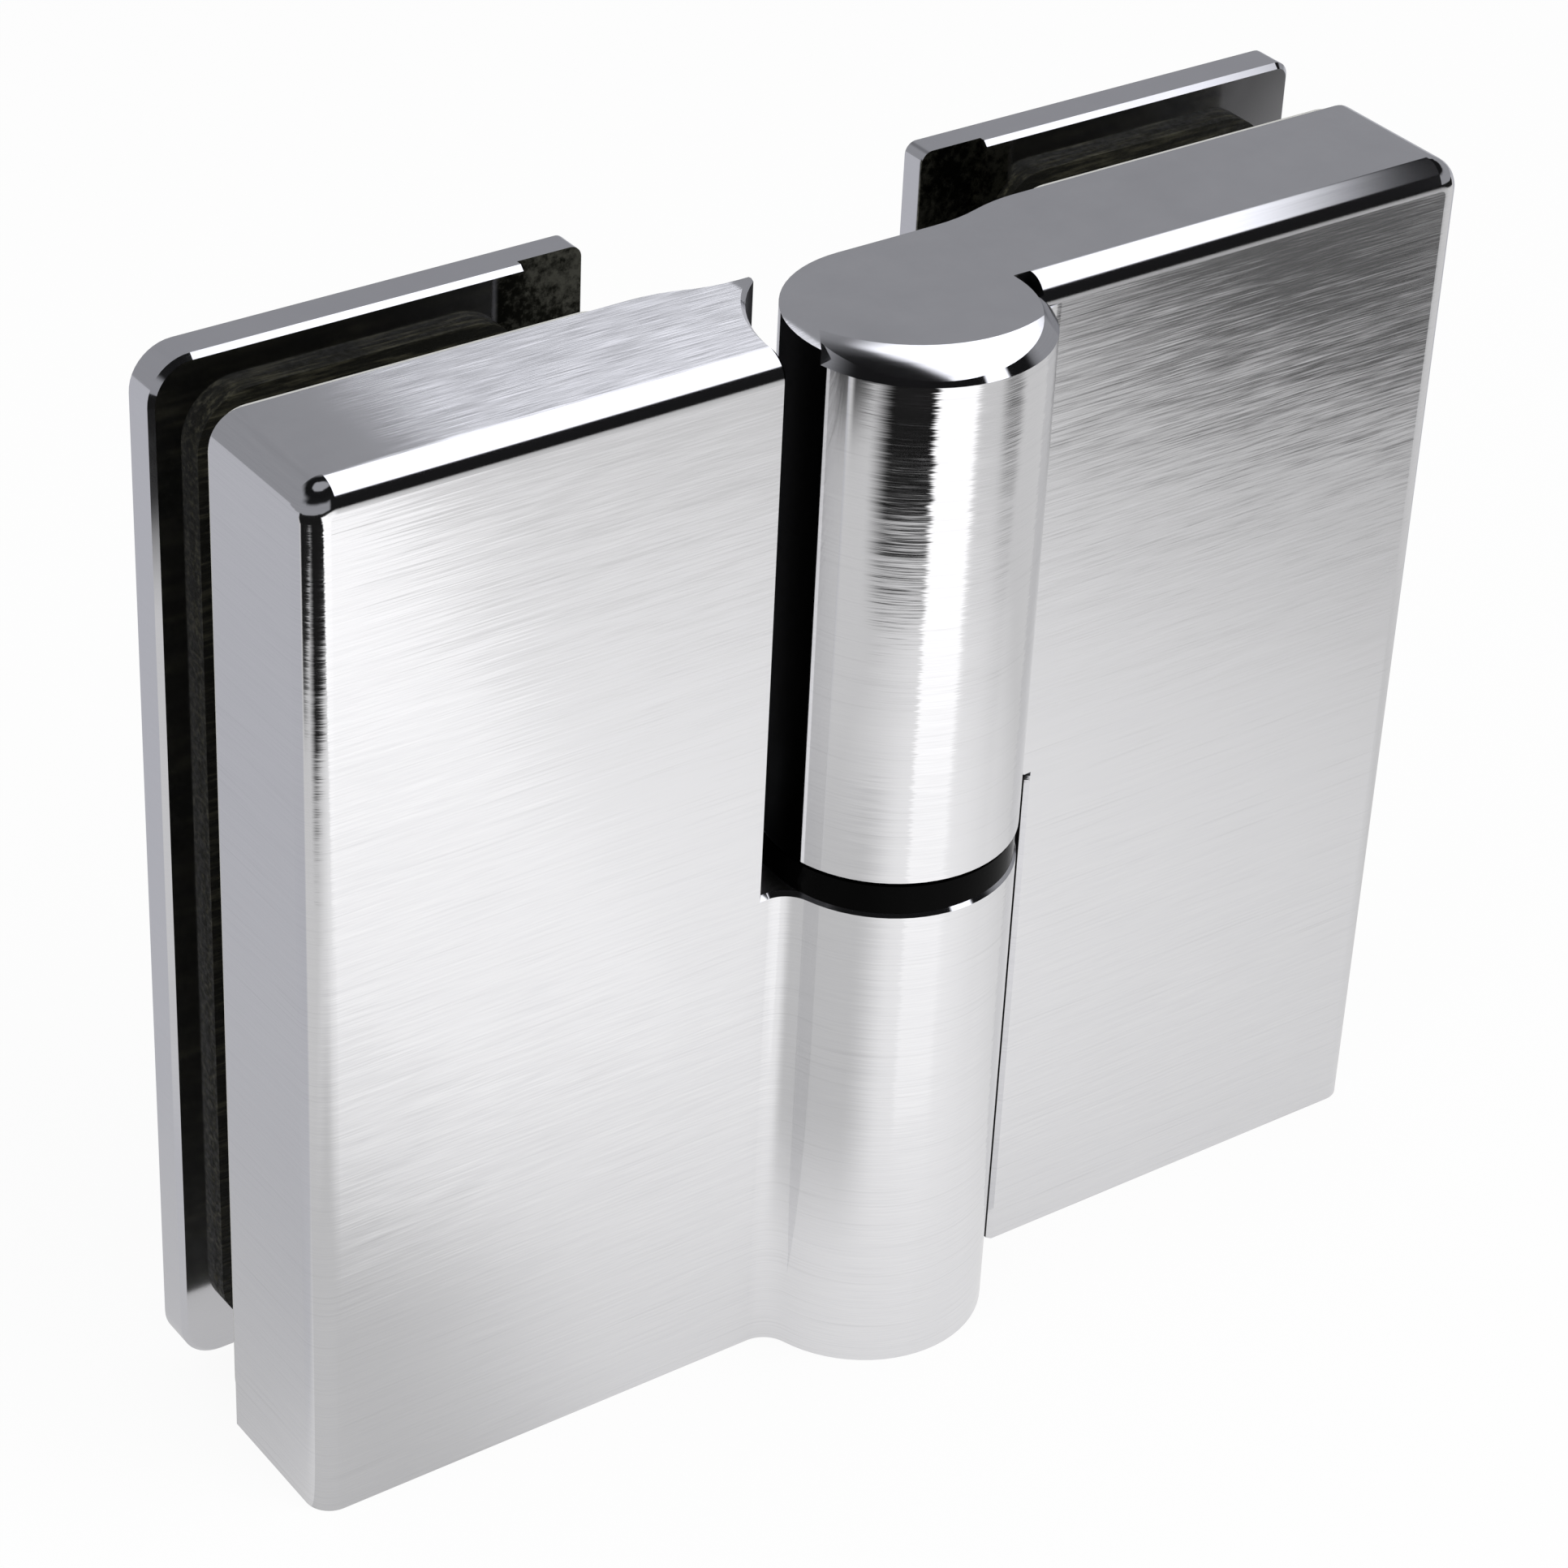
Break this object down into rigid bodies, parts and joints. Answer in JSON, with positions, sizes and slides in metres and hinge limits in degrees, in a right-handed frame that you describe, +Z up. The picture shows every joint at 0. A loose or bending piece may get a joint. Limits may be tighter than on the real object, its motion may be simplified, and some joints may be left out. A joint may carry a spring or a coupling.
{
  "type": "shower door hinge",
  "caption": "Glass-to-glass shower door hinge: two brushed metal leaves with clamp plates and gaskets, turning on a vertical barrel.",
  "frame": {"origin": "on the hinge axis, at the underside of the lower knuckle", "axes": "+X towards the door leaf, +Y towards the clamp plates on the inner side, +Z up the hinge axis"},
  "size_m": [0.104, 0.0336, 0.09],
  "materials": {
    "leaf_metal": "brushed faces with polished edges",
    "clamp_metal": "polished",
    "screw_steel": "bright stainless",
    "pin_steel": "ground",
    "gasket_rubber": "matt fibre-faced rubber",
    "ring_plastic": "glossy black",
    "bush_plastic": "natural white acetal",
    "sleeve_plastic": "matt black"
  },
  "bodies": {
    "fixed_leaf": {"fixed_leaf_body": "leaf_metal", "fixed_clamp_plate": "clamp_metal", "fixed_front_gasket": "gasket_rubber", "fixed_rear_gasket": "gasket_rubber", "fixed_clamp_screws": "screw_steel", "fixed_screw_sleeves": "sleeve_plastic", "pivot_pin": "pin_steel", "pin_grub_screw": "screw_steel", "knuckle_ring": "ring_plastic"},
    "door_leaf": {"door_leaf_body": "leaf_metal", "door_clamp_plate": "clamp_metal", "door_front_gasket": "gasket_rubber", "door_rear_gasket": "gasket_rubber", "door_clamp_screws": "screw_steel", "door_screw_sleeves": "sleeve_plastic", "lower_pin_bush": "bush_plastic", "upper_pin_bush": "bush_plastic"}
  },
  "joints": [
    {"name": "door_swing", "type": "hinge", "parent": "fixed_leaf", "child": "door_leaf", "pos_m": [0, 0, 0.045], "axis": [0, 0, -1], "range_deg": [0, 150]}
  ]
}
